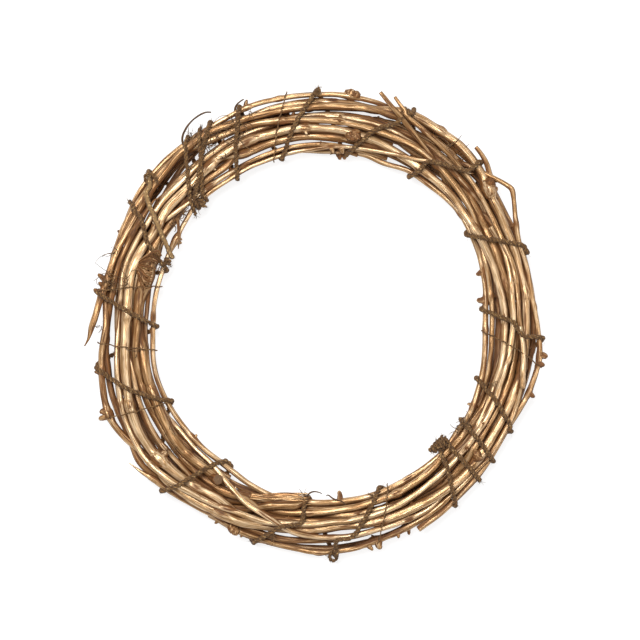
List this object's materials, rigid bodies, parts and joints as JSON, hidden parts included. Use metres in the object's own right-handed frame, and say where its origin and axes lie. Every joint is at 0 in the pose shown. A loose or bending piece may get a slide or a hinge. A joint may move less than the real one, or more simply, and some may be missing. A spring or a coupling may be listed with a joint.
{
  "type": "wreath frame",
  "caption": "Round wreath base of bare vine canes lapped into a ring, sprayed champagne gold and bound round and round with dark brown twine.",
  "frame": {"origin": "under the middle of the outline, on the surface that the wreath lies on", "axes": "the ring lies flat in XY with +Z out of its front face; +Y points to 12 o'clock and +X to 3 o'clock"},
  "size_m": [0.2514, 0.258, 0.0236],
  "materials": {
    "sprayed_cane": "bare vine cane sprayed with champagne gold paint, reddish brown bark left in the creases",
    "sprayed_bark": "rough bark dusted with the same gold spray",
    "jute_twine": "two-ply twisted brown twine, fibrous, with flecks of gold spray",
    "bare_tendril": "dry dark vine tendril",
    "fine_thread": "single loose fibre strand"
  },
  "bodies": {
    "root": {"cane_01": "sprayed_cane", "cane_02": "sprayed_cane", "cane_03": "sprayed_cane", "cane_04": "sprayed_cane", "cane_05": "sprayed_cane", "cane_06": "sprayed_cane", "cane_07": "sprayed_cane", "cane_08": "sprayed_cane", "cane_09": "sprayed_cane", "cane_10": "sprayed_cane", "cane_11": "sprayed_cane", "cane_12": "sprayed_cane", "cane_13": "sprayed_cane", "cane_14": "sprayed_cane", "cane_15": "sprayed_cane", "cane_16": "sprayed_cane", "cane_17": "sprayed_cane", "cane_18": "sprayed_cane", "cane_19": "sprayed_cane", "cane_20": "sprayed_cane", "cane_21": "sprayed_cane", "cane_22": "sprayed_cane", "cane_23": "sprayed_cane", "twig_outer_half_past_one": "sprayed_cane", "twig_inner_ten": "sprayed_cane", "twig_three": "sprayed_cane", "twig_inner_half_past_twelve": "sprayed_cane", "stub_seven": "sprayed_cane", "bark_knobs": "sprayed_bark", "torn_bark_six": "sprayed_bark", "bark_fibres_ten": "sprayed_bark", "knot_twelve": "jute_twine", "knot_half_past_four": "jute_twine", "knot_ten": "jute_twine", "knot_half_past_ten": "jute_twine", "twine_right": "jute_twine", "twine_left": "jute_twine", "twine_spare_strand": "jute_twine", "twine_end_loops": "jute_twine", "tendrils_eleven": "bare_tendril", "tendrils_six": "bare_tendril", "loose_threads": "fine_thread"}
  },
  "joints": []
}
